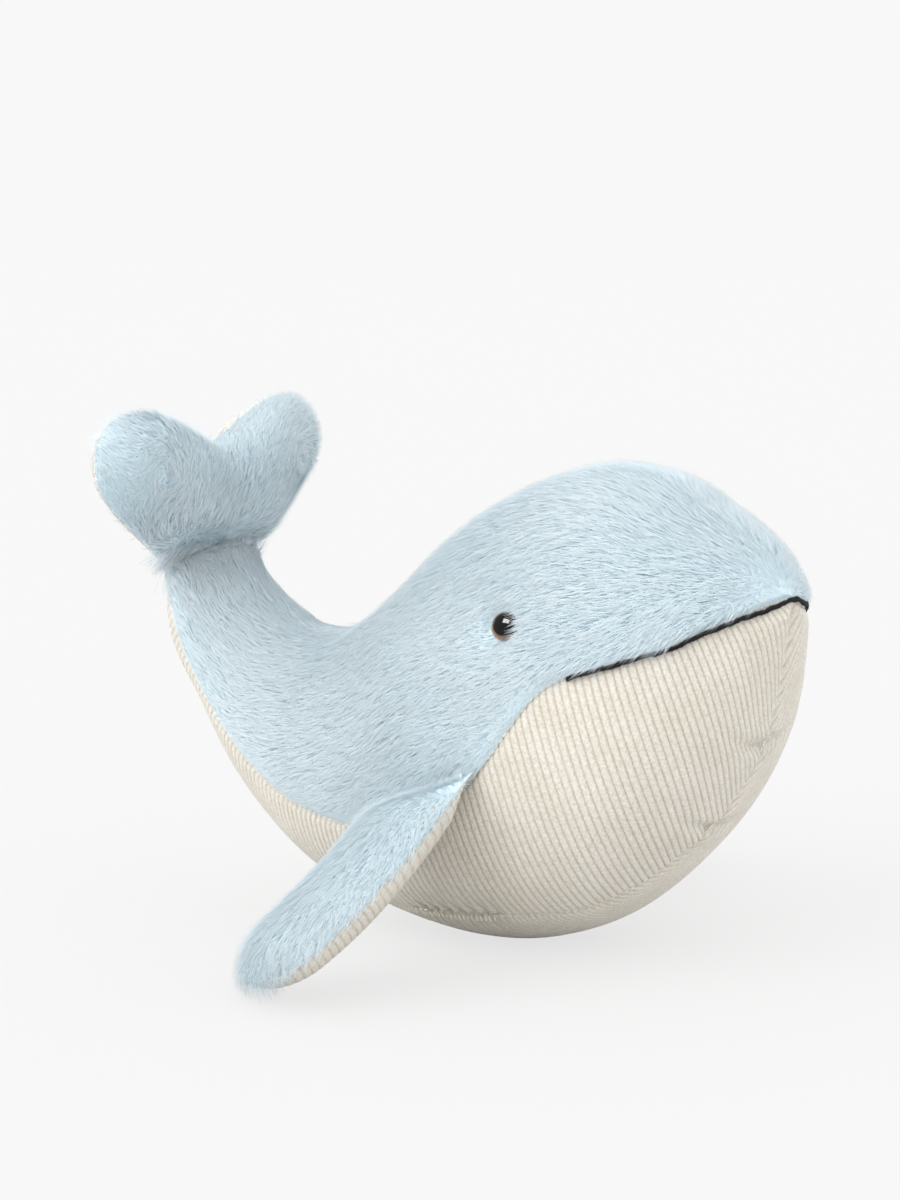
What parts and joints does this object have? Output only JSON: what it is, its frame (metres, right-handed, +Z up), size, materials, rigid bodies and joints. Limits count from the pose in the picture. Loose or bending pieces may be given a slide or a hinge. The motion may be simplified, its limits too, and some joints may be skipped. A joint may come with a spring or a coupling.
{
  "type": "stuffed plush whale",
  "caption": "Soft stuffed whale with a furry back, a corduroy belly, side fins and a raised fluke that fold by hand; it rests on its belly.",
  "frame": {"origin": "on the floor, in the middle of the flat patch that the belly rests on", "axes": "+X towards the nose, +Y towards the whale's left side, +Z up"},
  "size_m": [0.2979, 0.3042, 0.2176],
  "materials": {
    "fur": "long pale blue faux fur pile",
    "corduroy": "cream corduroy with 3.2 mm wales",
    "filling": "loose polyester fibre",
    "pale_thread": "spun polyester sewing thread",
    "mouth_thread": "glossy black embroidery thread in satin stitch",
    "eye_plastic": "polished dark brown resin dome",
    "washer_plastic": "moulded white plastic"
  },
  "bodies": {
    "body": {"back_fur_right": "fur", "belly_cord_right": "corduroy", "side_seam_thread_right": "pale_thread", "eye_right": "eye_plastic", "eye_washer_right": "washer_plastic", "back_fur_left": "fur", "belly_cord_left": "corduroy", "side_seam_thread_left": "pale_thread", "eye_left": "eye_plastic", "eye_washer_left": "washer_plastic", "body_filling": "filling", "tail_filling": "filling", "back_seam_thread": "pale_thread", "belly_seam_thread": "pale_thread", "tail_seam_thread": "pale_thread", "closing_thread": "pale_thread", "mouth_stitching": "mouth_thread", "fluke_fold_thread": "pale_thread"},
    "fin_right": {"fin_right_fur": "fur", "fin_right_cord": "corduroy", "fin_right_filling": "filling", "fin_right_seam_thread": "pale_thread"},
    "fin_left": {"fin_left_fur": "fur", "fin_left_cord": "corduroy", "fin_left_filling": "filling", "fin_left_seam_thread": "pale_thread"},
    "fluke": {"fluke_filling_right": "filling", "fluke_filling_left": "filling", "fluke_fur": "fur", "fluke_cord": "corduroy", "fluke_seam_thread": "pale_thread"}
  },
  "joints": [
    {"name": "fin_right_flap", "type": "hinge", "parent": "body", "child": "fin_right", "pos_m": [0.00374, -0.07961, 0.07028], "axis": [-0.8519, 0.1435, -0.5037], "range_deg": [-20, 35], "stiffness_Nm_per_rad": 0.12},
    {"name": "fin_left_flap", "type": "hinge", "parent": "body", "child": "fin_left", "pos_m": [0.00374, 0.07961, 0.07028], "axis": [0.8519, 0.1435, 0.5037], "range_deg": [-20, 35], "stiffness_Nm_per_rad": 0.12},
    {"name": "fluke_fold", "type": "hinge", "parent": "body", "child": "fluke", "pos_m": [-0.15348, 0, 0.15145], "axis": [0, 1, 0], "range_deg": [-45, 30], "stiffness_Nm_per_rad": 0.15}
  ]
}
